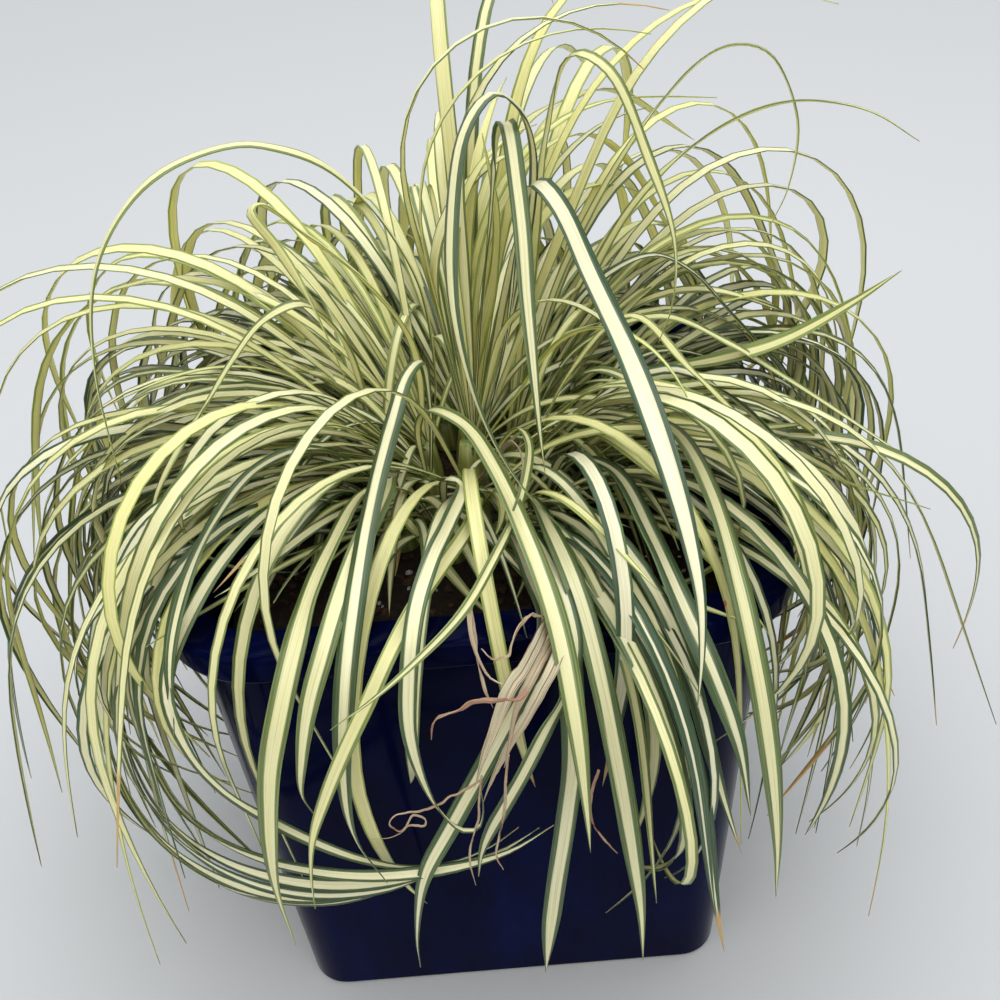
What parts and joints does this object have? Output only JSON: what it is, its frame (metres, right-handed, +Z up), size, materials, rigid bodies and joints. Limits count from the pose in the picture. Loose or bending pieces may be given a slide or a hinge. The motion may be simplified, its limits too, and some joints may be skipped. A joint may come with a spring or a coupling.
{
  "type": "potted variegated sedge",
  "caption": "Clump of arching striped sedge leaves growing in a square tapered glazed planter with a projecting lip.",
  "frame": {"origin": "middle of the planter's flat underside", "axes": "+Z up, +X to the right and -Y towards the viewer, each square to a side of the planter"},
  "size_m": [0.4818, 0.4197, 0.4356],
  "materials": {
    "glaze": "glossy deep blue glaze",
    "soil": "matte, crumbly",
    "leaf": "satin, striped cream and green"
  },
  "bodies": {
    "root": {"planter": "glaze", "potting_soil": "soil", "tuft_middle": "leaf", "tuft_inner_01": "leaf", "tuft_inner_02": "leaf", "tuft_inner_03": "leaf", "tuft_inner_04": "leaf", "tuft_inner_05": "leaf", "tuft_inner_06": "leaf", "tuft_outer_01": "leaf", "tuft_outer_02": "leaf", "tuft_outer_03": "leaf", "tuft_outer_04": "leaf", "tuft_outer_05": "leaf", "tuft_outer_06": "leaf", "tuft_outer_07": "leaf", "tuft_outer_08": "leaf", "tuft_outer_09": "leaf", "tuft_outer_10": "leaf", "tuft_outer_11": "leaf", "tuft_outer_12": "leaf"}
  },
  "joints": []
}
